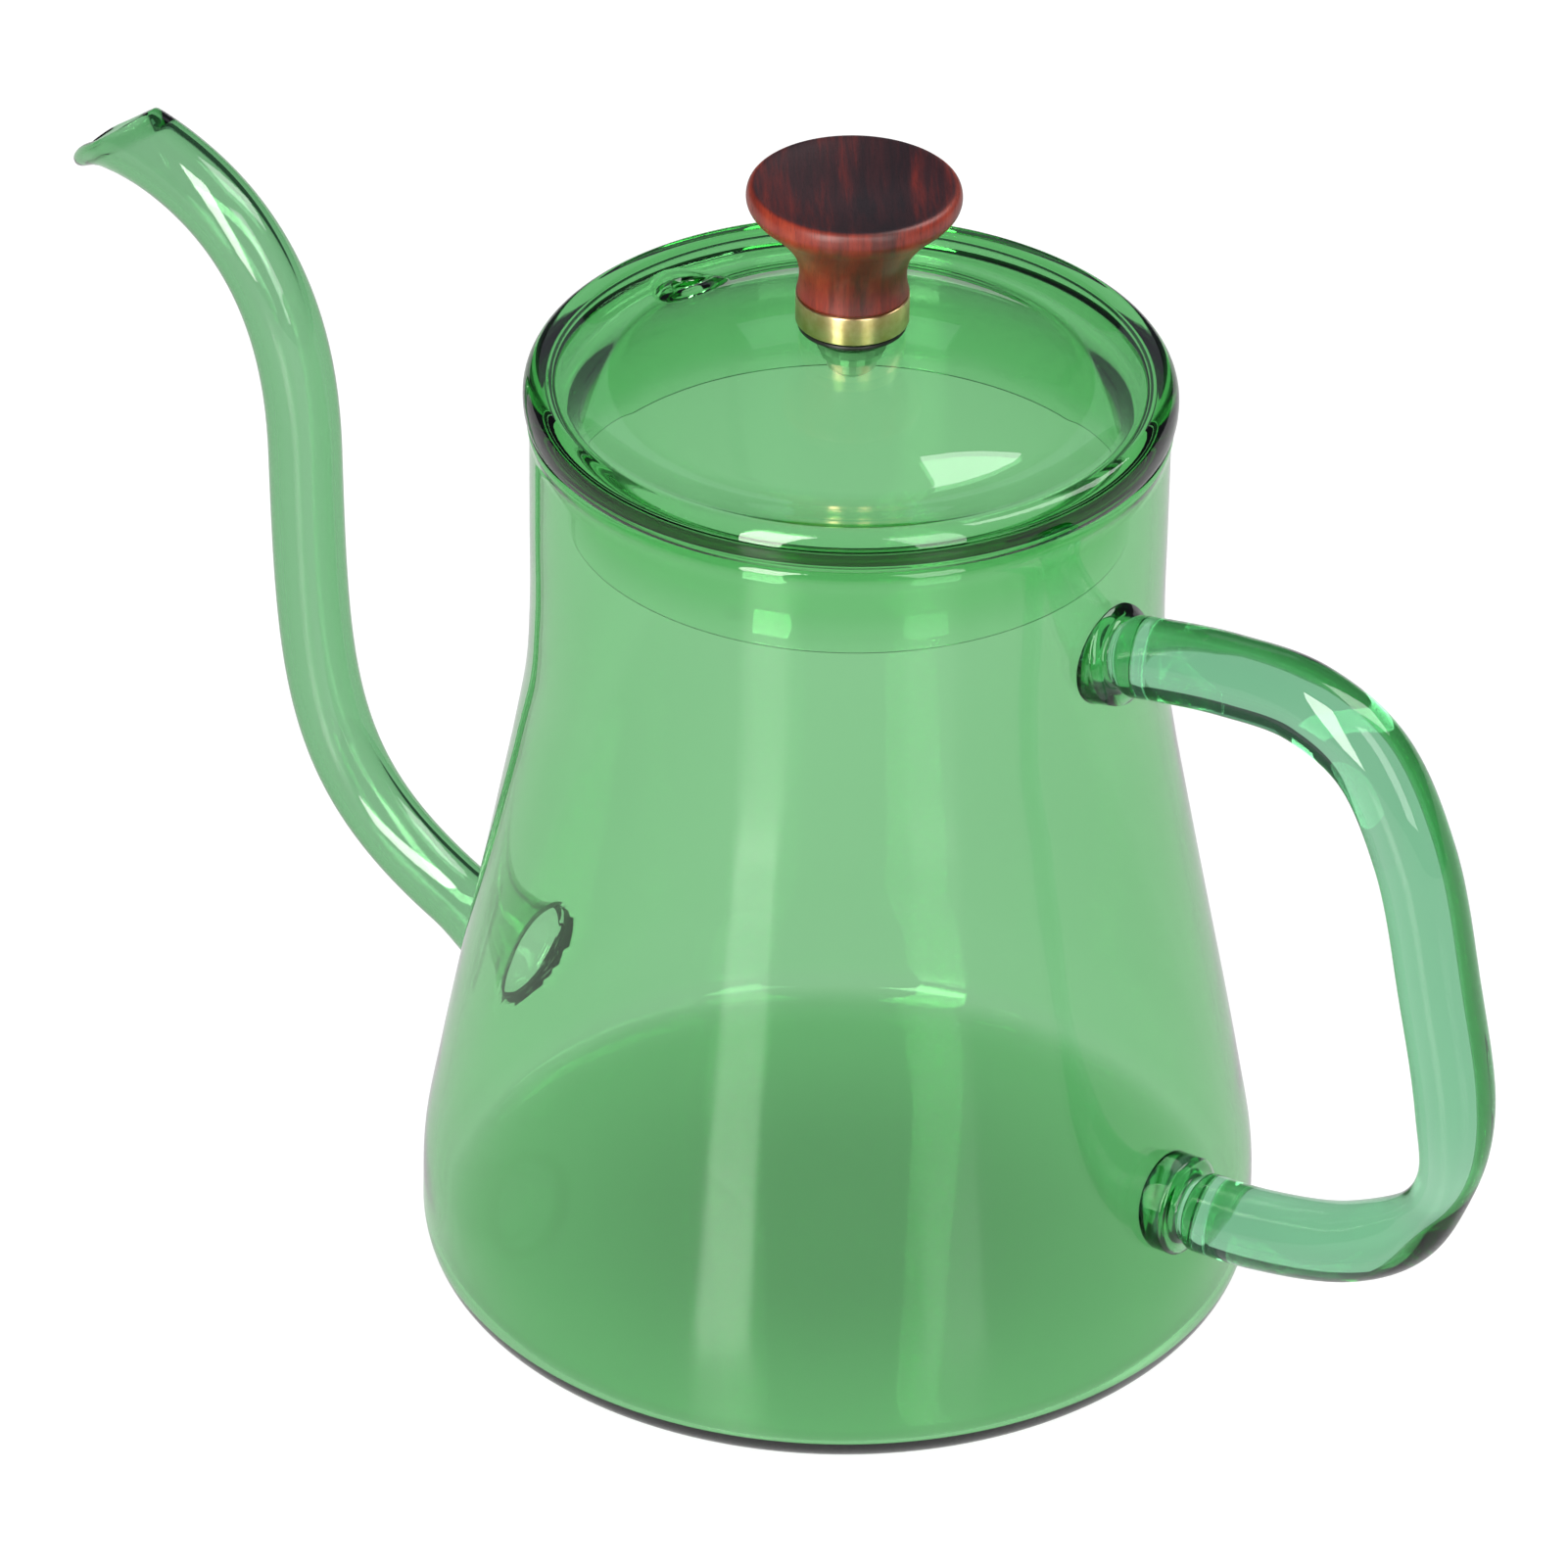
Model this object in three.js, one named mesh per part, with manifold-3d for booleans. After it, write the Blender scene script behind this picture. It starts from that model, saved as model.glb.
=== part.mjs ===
// A small gooseneck pour-over kettle of green borosilicate glass, in millimetres, +Z up.
//
// The origin is the middle of the flat base, on the surface the kettle stands on. The handle
// is on the +X side and the spout on the -X side. The body, the spout tube and the handle rod
// are fused together at the flame. The lid is one piece of glass with a skirt that drops into
// the neck, and it carries a turned wooden knob on a screw.

import * as THREE from "three";
import { mergeVertices } from "three/addons/utils/BufferGeometryUtils.js";
import Module from "manifold-3d";

const wasm = await Module();
wasm.setup();

// Driving dimensions

const GAP = 0.3; // between two pieces that touch
const BASE_FLAT_RADIUS = 45; // where the flat underside turns up into the wall
const BODY_RADIUS = 54.5; // the widest level, just above the base
const NECK_RADIUS = 40.2; // outside of the cylindrical neck
const RIM_HEIGHT = 125.9; // top of the body
const WALL = 1.8; // wall of the blown body
const FLOOR = 3.2; // thickness of the body's bottom
const RIM_BEAD_RADIUS = 1.25; // rounded rim of the neck

const LID_RADIUS = 41; // outside of the lid's flange
const FLANGE_BOTTOM = RIM_HEIGHT + 0.3; // where the lid rests on the rim
const FLANGE_LOWER_ROUND = { across: 0.4, up: 1.5 }; // the flange's edge, below its widest level
const FLANGE_SIDE = 0.3; // the upright part of the edge
const FLANGE_UPPER_ROUND = { across: 2.3, up: 3.1 }; // the edge above
const FLANGE_WEB = 1; // glass under the hollow of the rim
const FLARE_RADIUS = 3; // the skirt flares out into the flange
const FLARE_START = 120.2;
const GROOVE_RADIUS = 37.2; // how far out the hollow of the rim reaches
const DOME_EDGE = 27.2; // from here out the dome flattens into the flange
const LID_WALL = 1.8;
const DOME_TOP = 137.4; // highest point of the lid's glass
const DOME_CURVATURE = 68; // radius of the sphere that the dome is part of
const SKIRT_RADIUS = 35.4; // outside of the skirt inside the neck
const SKIRT_BOTTOM = 111.8;
const SCREW_HOLE_RADIUS = 2.4;

const VENT_DISTANCE = 29; // from the lid's axis
const VENT_ANGLE = THREE.MathUtils.degToRad(170); // from +X, a little off the spout's direction
const VENT_HOLE_RADIUS = 2;
const VENT_COLLAR_RADIUS = 5.2;
const VENT_COLLAR_HEIGHT = 0.7;

const SPOUT_ROOT_RADIUS = 6.4; // flared where it is fused to the body
const SPOUT_RADIUS = 4.75; // outside of the tube at its root
const SPOUT_TIP_RADIUS = 5; // the tube widens a little towards the mouth
const SPOUT_WALL = 1.3;
const SPOUT_MOUTH_RAKE = 4.2; // how far the mouth is cut back at the top and drawn out below
const SPOUT_LIP_REACH = 1.7; // the lower lip is drawn out further
const SPOUT_LIP_DROOP = 1.8; // the lower lip turns down
const SPOUT_LIP_HOOK = 1.4; // and ends in a small hook

const HANDLE_RADIUS = 5.2; // solid rod
const HANDLE_PINCH = 1.5; // the rod is thinner at its tight lower bend
const FOOT_RADIUS = 6.5; // the rod's ends are pressed onto the wall as thick discs
const FOOT_LENGTH = 1.3;
const FOOT_GROOVE = 0.9; // how much thinner the rod is just behind each foot

const FERRULE_RADIUS = 7.1;
const FERRULE_WALL = 1.2;
const FERRULE_HEIGHT = 3.8;
const SPIGOT_RADIUS = 5.6; // the part of the wood inside the ferrule
const STEM_RADIUS = 6.75; // the waist of the wood, just above the ferrule
const CAP_RADIUS = 13.4;
const CAP_TOP = 157.6;
const DISH_DEPTH = 1.7; // the knob's top is hollowed
const INSERT_RADIUS = 3;
const INSERT_BORE_RADIUS = 1.9;
const INSERT_LENGTH = 8.6;
const SCREW_RADIUS = 1.5;
const SCREW_HEAD_RADIUS = 3.3;
const SCREW_HEAD_HEIGHT = 2;
const TOP_WASHER = { outer: 6.8, inner: 1.9, height: 0.6 };
const GLASS_WASHER = { outer: 4.4, inner: 1.9, height: 1 };
const STEEL_WASHER = { outer: 3.9, inner: 1.9, height: 0.8 };

const ROUND_SEGMENTS = 48; // around the body and the lid
const SMALL_SEGMENTS = 24; // around the knob's hardware

// Materials

const glass = (colour) =>
  new THREE.MeshStandardMaterial({ color: colour, roughness: 0.04, metalness: 0 });
const bodyGlass = glass(0x90ca94);
const rodGlass = glass(0x60a96b);
const lidGlass = glass(0x76b581);
const rosewood = new THREE.MeshStandardMaterial({ color: 0x72301d, roughness: 0.4, metalness: 0 });
const brass = new THREE.MeshStandardMaterial({ color: 0xdabb78, roughness: 0.25, metalness: 1 });
const steel = new THREE.MeshStandardMaterial({ color: 0xb8bcc0, roughness: 0.3, metalness: 1 });
const darkSilicone = new THREE.MeshStandardMaterial({ color: 0x1c2620, roughness: 0.6 });
const clearSilicone = new THREE.MeshStandardMaterial({ color: 0xd8e4dc, roughness: 0.5 });

// Solids: closed meshes that can be joined and cut

function solidOf(geometry) {
  const bare = geometry.clone();
  bare.deleteAttribute("normal");
  bare.deleteAttribute("uv");
  const merged = mergeVertices(bare, 1e-4);
  return new wasm.Manifold(
    new wasm.Mesh({
      numProp: 3,
      vertProperties: new Float32Array(merged.attributes.position.array),
      triVerts: new Uint32Array(merged.index.array),
    }),
  );
}

function geometryOf(solid) {
  const mesh = solid.getMesh();
  const geometry = new THREE.BufferGeometry();
  geometry.setAttribute("position", new THREE.BufferAttribute(mesh.vertProperties, mesh.numProp));
  geometry.setIndex(new THREE.BufferAttribute(mesh.triVerts, 1));
  geometry.computeVertexNormals();
  return geometry;
}

// Outlines are lists of Vector2 with x as the radius and y as the height

const point = (radius, height) => new THREE.Vector2(radius, height);

function curved(points, count) {
  return new THREE.SplineCurve(points).getPoints(count);
}

function arc(centre, radius, fromDegrees, toDegrees, count) {
  const points = [];
  for (let i = 0; i <= count; i++) {
    const angle = THREE.MathUtils.degToRad(THREE.MathUtils.lerp(fromDegrees, toDegrees, i / count));
    points.push(point(centre.x + radius * Math.cos(angle), centre.y + radius * Math.sin(angle)));
  }
  return points;
}

// Moves every point of an outline sideways, to the left of the way it runs
function offset(outline, distance) {
  return outline.map((here, i) => {
    const before = outline[Math.max(i - 1, 0)];
    const after = outline[Math.min(i + 1, outline.length - 1)];
    const along = after.clone().sub(before).normalize();
    return point(here.x - along.y * distance, here.y + along.x * distance);
  });
}

// Turns an outline around the Z axis. It runs anticlockwise seen with the radius to the right.
function revolve(outline, segments) {
  const geometry = new THREE.LatheGeometry(outline, segments);
  geometry.rotateX(Math.PI / 2);
  return geometry;
}

function ring({ outer, inner, height }, bottom) {
  const outline = [
    point(inner, bottom),
    point(outer, bottom),
    point(outer, bottom + height),
    point(inner, bottom + height),
    point(inner, bottom),
  ];
  return revolve(outline, SMALL_SEGMENTS);
}

// Sweeps: a straight extrusion of a round section, bent along a curve in the XZ plane.
// radiusAt(share, inner) gives the radius, and shift(share, up) moves points near the end.

function sweep(curve, { sides, steps, radiusAt, hollow = false, shift = null }) {
  const innerMark = 0.5;
  const section = new THREE.Shape().absarc(0, 0, 1, 0, 2 * Math.PI);
  if (hollow) {
    section.holes.push(new THREE.Path().absarc(0, 0, innerMark, 0, 2 * Math.PI, true));
  }
  const geometry = new THREE.ExtrudeGeometry(section, {
    depth: 1,
    steps,
    curveSegments: sides / 2,
    bevelEnabled: false,
  });
  const position = geometry.attributes.position;
  const sideways = new THREE.Vector3(0, 1, 0);
  for (let i = 0; i < position.count; i++) {
    const step = position.getZ(i);
    const share = step - (0.7 * Math.sin(2 * Math.PI * step)) / (2 * Math.PI);
    const x = position.getX(i);
    const y = position.getY(i);
    const reach = Math.hypot(x, y);
    const radius = radiusAt(share, hollow && reach < 0.9);
    const centre = curve.getPointAt(THREE.MathUtils.clamp(share, 0, 1));
    const tangent = curve.getTangentAt(THREE.MathUtils.clamp(share, 0, 1));
    const upward = new THREE.Vector3().crossVectors(sideways, tangent);
    const up = x / reach;
    const moved = shift ? shift(share, up) : { along: 0, out: 0 };
    centre.addScaledVector(upward, up * (radius + moved.out));
    centre.addScaledVector(sideways, (y / reach) * radius);
    centre.addScaledVector(tangent, moved.along);
    position.setXYZ(i, centre.x, centre.y, centre.z);
  }
  return geometry;
}

const inPlane = (x, z) => new THREE.Vector3(x, 0, z);
const smooth = THREE.MathUtils.smoothstep;

// The body: flat base, rounded corner, tapering wall, straight neck and a rounded rim

const baseCorner = new THREE.CubicBezierCurve(
  point(BASE_FLAT_RADIUS, 0),
  point(52.1, 0),
  point(54.4, 3),
  point(BODY_RADIUS, 7),
);
const wallShape = [
  point(BODY_RADIUS, 7),
  point(54.2, 16),
  point(52.5, 26),
  point(50, 39),
  point(47.1, 53.3),
  point(44.5, 66.4),
  point(42.2, 78.3),
  point(40.7, 87.8),
  point(NECK_RADIUS, 98),
  point(NECK_RADIUS, 110),
  point(NECK_RADIUS, RIM_HEIGHT - 2.6),
];
const outsideOfBody = [...baseCorner.getPoints(6), ...curved(wallShape, 14).slice(1)];

function bodyOutline() {
  const insideWall = offset(outsideOfBody, WALL).filter((p) => p.y > FLOOR + 1);
  const beadCentre = point(NECK_RADIUS - 0.9, RIM_HEIGHT - RIM_BEAD_RADIUS);
  return [
    point(0, 0),
    ...outsideOfBody,
    ...arc(beadCentre, RIM_BEAD_RADIUS, -20, 200, 6),
    ...insideWall.reverse(),
    point(BASE_FLAT_RADIUS + 3, FLOOR + 0.3),
    point(BASE_FLAT_RADIUS - 3, FLOOR),
    point(0, FLOOR),
  ];
}

// The body's outside with a clearance all round, for trimming what is fused to it
function bodyClearance() {
  const skin = offset(outsideOfBody, -GAP);
  const outline = [point(0, -GAP), ...skin, point(NECK_RADIUS + GAP, RIM_HEIGHT), point(0, RIM_HEIGHT)];
  return solidOf(revolve(outline, ROUND_SEGMENTS));
}

// The spout: out of the low wall, up beside the body, over and out to a drawn-out mouth

const spoutPath = new THREE.CurvePath();
spoutPath.add(
  new THREE.CubicBezierCurve3(
    inPlane(-47.5, 22.8),
    inPlane(-86, 34.2),
    inPlane(-86.8, 47),
    inPlane(-87.6, 87.6),
  ),
);
spoutPath.add(
  new THREE.CubicBezierCurve3(
    inPlane(-87.6, 87.6),
    inPlane(-87.8, 98.6),
    inPlane(-89.4, 122.3),
    inPlane(-117.5, 126.3),
  ),
);

function spoutRadius(share, inner) {
  const flare = (SPOUT_ROOT_RADIUS - SPOUT_RADIUS) * (1 - smooth(share, 0.03, 0.12));
  const radius = THREE.MathUtils.lerp(SPOUT_RADIUS, SPOUT_TIP_RADIUS, share) + flare;
  return inner ? radius - SPOUT_WALL : radius;
}

function spoutMouth(share, up) {
  const nearEnd = smooth(share, 0.9, 1);
  const lip = Math.max(0, -up) ** 3;
  const hook = SPOUT_LIP_HOOK * smooth(share, 0.975, 1);
  return {
    along: nearEnd * (-SPOUT_MOUTH_RAKE * up + SPOUT_LIP_REACH * lip),
    out: (nearEnd ** 2 * SPOUT_LIP_DROOP + hook) * lip,
  };
}

function spoutGeometry() {
  const tube = sweep(spoutPath, {
    sides: 16,
    steps: 34,
    radiusAt: spoutRadius,
    hollow: true,
    shift: spoutMouth,
  });
  return geometryOf(solidOf(tube).subtract(bodyClearance()));
}

function bodyGeometry() {
  const bore = sweep(new THREE.LineCurve3(inPlane(-40, 20.6), inPlane(-60, 26.6)), {
    sides: 16,
    steps: 1,
    radiusAt: () => SPOUT_ROOT_RADIUS - SPOUT_WALL,
  });
  const shell = solidOf(revolve(bodyOutline(), ROUND_SEGMENTS));
  return geometryOf(shell.subtract(solidOf(bore)));
}

// The handle: a solid rod from the neck, out and down, back to the low wall

const handlePath = new THREE.CatmullRomCurve3(
  [
    inPlane(37.5, 103.9),
    inPlane(47.4, 106.3),
    inPlane(58, 108),
    inPlane(69, 108.2),
    inPlane(78.6, 103.8),
    inPlane(85.6, 92),
    inPlane(90.2, 74.3),
    inPlane(93.4, 58),
    inPlane(93, 47.5),
    inPlane(88.8, 38.8),
    inPlane(79.6, 32),
    inPlane(66, 28),
    inPlane(50, 26.5),
  ],
  false,
  "centripetal",
);

function handleRadius(share) {
  const length = handlePath.getLength();
  const fromFoot = Math.min(share * length - 3, (1 - share) * length - 3.5);
  const foot = 1 - smooth(fromFoot, FOOT_LENGTH, FOOT_LENGTH + 0.8);
  const groove = FOOT_GROOVE * (1 - smooth(fromFoot, FOOT_LENGTH + 0.9, FOOT_LENGTH + 2.6));
  const bend = Math.exp(-(((share - 0.685) / 0.06) ** 2));
  const rod = HANDLE_RADIUS - HANDLE_PINCH * bend - groove;
  return THREE.MathUtils.lerp(rod, FOOT_RADIUS, foot);
}

function handleGeometry() {
  const rod = sweep(handlePath, { sides: 16, steps: 64, radiusAt: handleRadius });
  return geometryOf(solidOf(rod).subtract(bodyClearance()));
}

// The lid: a thin shallow dome and a skirt, whose top flares out under the dome. The two are
// fused at the rim into a thick flange, with a hollow between them.

const domeHeight = (radius) =>
  DOME_TOP - DOME_CURVATURE + Math.sqrt(DOME_CURVATURE ** 2 - radius ** 2);

function oval(centre, { across, up }, fromDegrees, toDegrees, count) {
  return arc(point(0, 0), 1, fromDegrees, toDegrees, count).map((p) =>
    point(centre.x + p.x * across, centre.y + p.y * up),
  );
}

function bezier(p0, p1, p2, p3, count) {
  return new THREE.CubicBezierCurve(p0, p1, p2, p3).getPoints(count);
}

const flangeWidest = FLANGE_BOTTOM + FLANGE_LOWER_ROUND.up;
const flangeCrest = point(
  LID_RADIUS - FLANGE_UPPER_ROUND.across,
  flangeWidest + FLANGE_SIDE + FLANGE_UPPER_ROUND.up,
);

// The upper surface, from the crest of the flange inwards to the screw hole
function lidTop() {
  const slope = DOME_EDGE / Math.sqrt(DOME_CURVATURE ** 2 - DOME_EDGE ** 2);
  const reach = 0.3 * (flangeCrest.x - DOME_EDGE);
  const edge = point(DOME_EDGE, domeHeight(DOME_EDGE));
  const saddle = bezier(
    flangeCrest,
    point(flangeCrest.x - reach, flangeCrest.y + 0.1 * reach),
    point(edge.x + reach, edge.y - reach * slope),
    edge,
    7,
  );
  const dome = [];
  const rings = 6;
  for (let i = 1; i <= rings; i++) {
    const radius = THREE.MathUtils.lerp(DOME_EDGE, SCREW_HOLE_RADIUS, i / rings);
    dome.push(point(radius, domeHeight(radius)));
  }
  return [...saddle, ...dome];
}

function lidOutline() {
  const inner = SKIRT_RADIUS - LID_WALL;
  const top = lidTop();
  const underside = offset(top, LID_WALL)
    .filter((p) => p.x < GROOVE_RADIUS)
    .reverse();
  const hollowTop = underside.at(-1);
  const hollowBottom = FLANGE_BOTTOM + FLANGE_WEB;
  const half = (hollowTop.y - hollowBottom) / 2;
  const groove = arc(point(hollowTop.x, hollowBottom + half), half, 90, -90, 4);
  const flareInside = bezier(
    point(hollowTop.x, hollowBottom),
    point(THREE.MathUtils.lerp(hollowTop.x, inner, 0.3), hollowBottom),
    point(inner, THREE.MathUtils.lerp(FLARE_START, hollowBottom, 0.56)),
    point(inner, FLARE_START),
    6,
  );
  const flareOutside = bezier(
    point(SKIRT_RADIUS, FLANGE_BOTTOM - 1.4 * FLARE_RADIUS),
    point(SKIRT_RADIUS, FLANGE_BOTTOM - 0.3 * FLARE_RADIUS),
    point(SKIRT_RADIUS + 0.3 * FLARE_RADIUS, FLANGE_BOTTOM),
    point(SKIRT_RADIUS + FLARE_RADIUS, FLANGE_BOTTOM),
    5,
  );
  const lowerEdge = point(LID_RADIUS - FLANGE_LOWER_ROUND.across, flangeWidest);
  const upperEdge = point(flangeCrest.x, flangeWidest + FLANGE_SIDE);
  return [
    ...underside,
    ...groove.slice(1),
    ...flareInside.slice(1),
    ...arc(point(inner + LID_WALL / 2, SKIRT_BOTTOM + LID_WALL / 2), LID_WALL / 2, 180, 360, 6),
    ...flareOutside,
    ...oval(lowerEdge, FLANGE_LOWER_ROUND, -90, 0, 3),
    ...oval(upperEdge, FLANGE_UPPER_ROUND, 0, 90, 6),
    ...top.slice(1),
    underside[0].clone(),
  ];
}

function lidGeometry() {
  const lid = solidOf(revolve(lidOutline(), ROUND_SEGMENTS));
  const collarOutline = [
    point(0, -LID_WALL / 2),
    point(VENT_COLLAR_RADIUS, -LID_WALL / 2),
    point(VENT_COLLAR_RADIUS, 0),
    point(VENT_COLLAR_RADIUS - 0.9, 0.45 * VENT_COLLAR_HEIGHT),
    point(VENT_COLLAR_RADIUS - 1.7, 0.9 * VENT_COLLAR_HEIGHT),
    point(0, VENT_COLLAR_HEIGHT),
  ];
  const tilt = Math.asin(VENT_DISTANCE / DOME_CURVATURE);
  const place = (geometry) => {
    geometry.rotateY(tilt);
    geometry.translate(VENT_DISTANCE, 0, domeHeight(VENT_DISTANCE));
    geometry.rotateZ(VENT_ANGLE);
    return solidOf(geometry);
  };
  const collar = place(revolve(collarOutline, 20));
  const hole = place(new THREE.CylinderGeometry(VENT_HOLE_RADIUS, VENT_HOLE_RADIUS, 12, 16).rotateX(Math.PI / 2));
  return geometryOf(lid.add(collar).subtract(hole));
}

// The knob: everything that the screw holds together on the lid, stacked along the axis

const topWasherBottom = DOME_TOP + GAP;
const ferruleBottom = topWasherBottom + TOP_WASHER.height + GAP;
const ferruleTop = ferruleBottom + FERRULE_HEIGHT;
const glassWasherBottom = domeHeight(GLASS_WASHER.outer) - LID_WALL - GAP - GLASS_WASHER.height;
const steelWasherBottom = glassWasherBottom - GAP - STEEL_WASHER.height;
const screwHeadTop = steelWasherBottom - GAP;
const insertBottom = ferruleBottom + 0.4;

function knobGeometry() {
  const bore = INSERT_RADIUS + GAP;
  const boreTop = insertBottom + INSERT_LENGTH + GAP;
  const flare = [
    point(STEM_RADIUS, ferruleTop + 1.9),
    point(STEM_RADIUS, ferruleTop + 3.6),
    point(7.25, ferruleTop + 5.5),
    point(8.7, ferruleTop + 7.8),
    point(11, ferruleTop + 10.3),
    point(12.6, ferruleTop + 11.8),
  ];
  const capEdge = [
    point(12.6, ferruleTop + 11.8),
    point(CAP_RADIUS - 0.2, CAP_TOP - 2.5),
    point(CAP_RADIUS, CAP_TOP - 1.6),
    point(CAP_RADIUS - 0.3, CAP_TOP - 0.5),
    point(CAP_RADIUS - 1, CAP_TOP),
  ];
  const dish = [point(9.5, CAP_TOP - 0.75), point(5, CAP_TOP - 1.5), point(0, CAP_TOP - DISH_DEPTH)];
  return revolve(
    [
      point(0, boreTop),
      point(bore, boreTop),
      point(bore, ferruleBottom + 0.1),
      point(SPIGOT_RADIUS, ferruleBottom + 0.1),
      point(SPIGOT_RADIUS, ferruleTop + GAP),
      point(FERRULE_RADIUS - 0.05, ferruleTop + GAP),
      ...curved(flare, 9),
      ...curved(capEdge, 6).slice(1),
      ...dish,
    ],
    32,
  );
}

function screwGeometry() {
  const shankTop = insertBottom + INSERT_LENGTH - 1;
  const crown = screwHeadTop - SCREW_HEAD_HEIGHT;
  return revolve(
    [
      point(0, crown),
      point(SCREW_HEAD_RADIUS - 1, crown + 0.1),
      point(SCREW_HEAD_RADIUS - 0.2, crown + 0.8),
      point(SCREW_HEAD_RADIUS, screwHeadTop),
      point(SCREW_RADIUS, screwHeadTop),
      point(SCREW_RADIUS, shankTop - 0.5),
      point(SCREW_RADIUS - 0.5, shankTop),
      point(0, shankTop),
    ],
    SMALL_SEGMENTS,
  );
}

const ferruleShape = {
  outer: FERRULE_RADIUS,
  inner: FERRULE_RADIUS - FERRULE_WALL,
  height: FERRULE_HEIGHT,
};
const insertShape = { outer: INSERT_RADIUS, inner: INSERT_BORE_RADIUS, height: INSERT_LENGTH };

const pieces = [
  ["kettle_body", bodyGeometry(), bodyGlass],
  ["spout_tube", spoutGeometry(), bodyGlass],
  ["handle_rod", handleGeometry(), rodGlass],
  ["lid_glass", lidGeometry(), lidGlass],
  ["knob_wood", knobGeometry(), rosewood],
  ["knob_ferrule", ring(ferruleShape, ferruleBottom), brass],
  ["knob_insert", ring(insertShape, insertBottom), brass],
  ["knob_screw", screwGeometry(), steel],
  ["washer_above_glass", ring(TOP_WASHER, topWasherBottom), darkSilicone],
  ["washer_below_glass", ring(GLASS_WASHER, glassWasherBottom), clearSilicone],
  ["washer_steel", ring(STEEL_WASHER, steelWasherBottom), steel],
];

const kettle = new THREE.Group();
for (const [name, geometry, material] of pieces) {
  const mesh = new THREE.Mesh(geometry, material);
  mesh.name = name;
  kettle.add(mesh);
}

export default kettle;
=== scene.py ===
"""Looks of a small green glass gooseneck kettle, built over its CAD frame.

Lengths are in metres, +Z up, with the handle on the +X side and the spout on the -X side.
"""

import math

import bmesh
import bpy
from mathutils import Matrix, Vector


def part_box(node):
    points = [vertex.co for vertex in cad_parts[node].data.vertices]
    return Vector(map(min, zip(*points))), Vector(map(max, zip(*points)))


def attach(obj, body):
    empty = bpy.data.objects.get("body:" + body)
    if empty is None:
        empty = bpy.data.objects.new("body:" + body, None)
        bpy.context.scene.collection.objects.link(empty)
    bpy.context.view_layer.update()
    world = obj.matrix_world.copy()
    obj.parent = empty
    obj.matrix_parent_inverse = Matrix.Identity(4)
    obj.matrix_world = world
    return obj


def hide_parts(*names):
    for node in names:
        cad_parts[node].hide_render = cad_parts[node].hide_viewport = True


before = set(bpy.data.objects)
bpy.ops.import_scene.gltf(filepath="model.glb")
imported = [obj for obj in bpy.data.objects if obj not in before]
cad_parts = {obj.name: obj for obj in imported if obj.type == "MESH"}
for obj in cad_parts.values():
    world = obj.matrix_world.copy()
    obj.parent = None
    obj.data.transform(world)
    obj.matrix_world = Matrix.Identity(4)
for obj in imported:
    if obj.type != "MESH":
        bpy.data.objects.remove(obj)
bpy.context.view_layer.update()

MM = 0.001

# ---------------------------------------------------------------- sizes, from the frame

body_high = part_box("kettle_body")[1]
lid_low, lid_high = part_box("lid_glass")
wood_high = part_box("knob_wood")[1]
ferrule_low, ferrule_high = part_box("knob_ferrule")
insert_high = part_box("knob_insert")[1]
washer_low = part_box("washer_above_glass")[0]

GAP = 0.3 * MM  # between two pieces that touch

BODY_RADIUS = body_high[0]
RIM_HEIGHT = body_high[2]
BASE_FLAT_RADIUS = 0.826 * BODY_RADIUS
NECK_RADIUS = 0.7376 * BODY_RADIUS
WALL = 1.8 * MM
FLOOR = 3.2 * MM
FLOOR_CORNER_RISE = 1.2 * MM  # the floor meets the wall in a curve that starts this far above it
FLOOR_CORNER_RADIUS = 48 * MM
FLOOR_FLAT_RADIUS = 42 * MM
BASE_CORNER = ((52.1 * MM, 0), (54.4 * MM, 3 * MM))  # handles of the curve round the lower corner
WIDEST_HEIGHT = 7 * MM
WALL_LEVELS = (  # radius and height of the tapering wall, in millimetres
    (54.2, 16), (52.5, 26), (50, 39), (47.1, 53.3), (44.5, 66.4), (42.2, 78.3), (40.7, 87.8),
)
NECK_LEVELS = (98 * MM, 110 * MM, RIM_HEIGHT - 2.6 * MM)
BEAD_RADIUS = 1.25 * MM  # the rounded rim
BEAD_INSET = 0.9 * MM
BODY_SEGMENTS = 192

LID_RADIUS = lid_high[0]
LID_WALL = 1.8 * MM
DOME_TOP = washer_low[2] - GAP
DOME_CURVATURE = 68 * MM
SKIRT_RADIUS = 35.4 * MM
FLANGE_BOTTOM = RIM_HEIGHT + GAP
FLANGE_LOWER_ROUND = (0.39 * MM, 1.56 * MM)  # across, up
FLANGE_SIDE = 0.31 * MM
FLANGE_UPPER_ROUND = (2.28 * MM, 3.13 * MM)
FLANGE_WEB = 0.98 * MM  # glass between the flange's bottom and the hollow above it
FLARE_RADIUS = 3.0 * MM  # the skirt flares out into the flange
FLARE_START = 120.2 * MM
GROOVE_RADIUS = 37.25 * MM  # how far out the hollow between dome and flare reaches
DOME_EDGE = 29.2 * MM  # from here out the dome bends up into the flange
SADDLE = 0.28  # how stiffly it does so, as a share of the width of the bend
CREST_LEAN = 0.1  # slope of the glass where it leaves the flange's crest
SKIRT_BOTTOM = lid_low[2]
SKIRT_EDGE = 0.6 * MM  # the skirt thins out to this at its lower edge
SCREW_HOLE_RADIUS = 2.4 * MM
DOME_STEPS = 60

VENT_DISTANCE = 29 * MM
VENT_ANGLE = math.radians(170)
VENT_HOLE_RADIUS = 2.0 * MM
VENT_COLLAR_RADIUS = 5.2 * MM
VENT_COLLAR_HEIGHT = 0.7 * MM
VENT_COLLAR_EASE = 2.2 * MM  # width of the collar's slope
VENT_PATCH_RADIUS = 8 * MM  # the dome's mesh is finer this far around the vent
VENT_LIP = 0.3 * MM

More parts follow.
